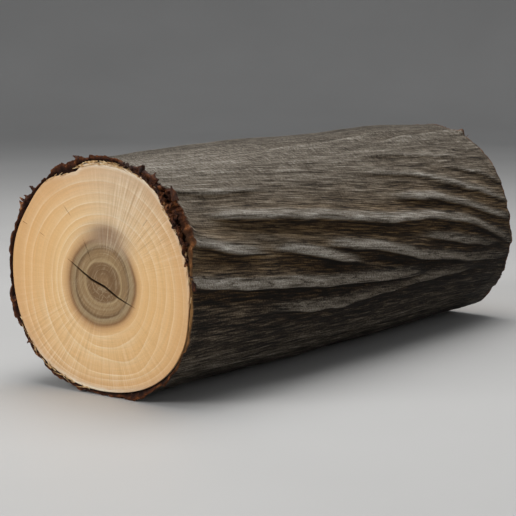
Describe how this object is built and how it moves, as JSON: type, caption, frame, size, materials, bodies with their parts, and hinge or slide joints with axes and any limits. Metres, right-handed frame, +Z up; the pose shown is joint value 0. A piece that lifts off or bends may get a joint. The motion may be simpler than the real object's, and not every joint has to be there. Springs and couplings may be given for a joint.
{
  "type": "log",
  "caption": "Short sawn log lying on its side: pale wood with a cracked heart, in a coat of grey ridged bark with torn edges.",
  "frame": {"origin": "middle of the flat on the underside that the log rests on, half way along the log", "axes": "+Z up from the surface, +Y along the log from its front sawn face to its back one, +X to the right seen from the front"},
  "size_m": [0.1695, 0.4087, 0.155],
  "materials": {
    "sawn_wood": "dry sawn end grain, pale sapwood round a grey-brown heart",
    "bark": "weathered grey, fibrous and matt, dark red-brown where it is torn"
  },
  "bodies": {
    "root": {"wood": "sawn_wood", "bark": "bark"}
  },
  "joints": []
}
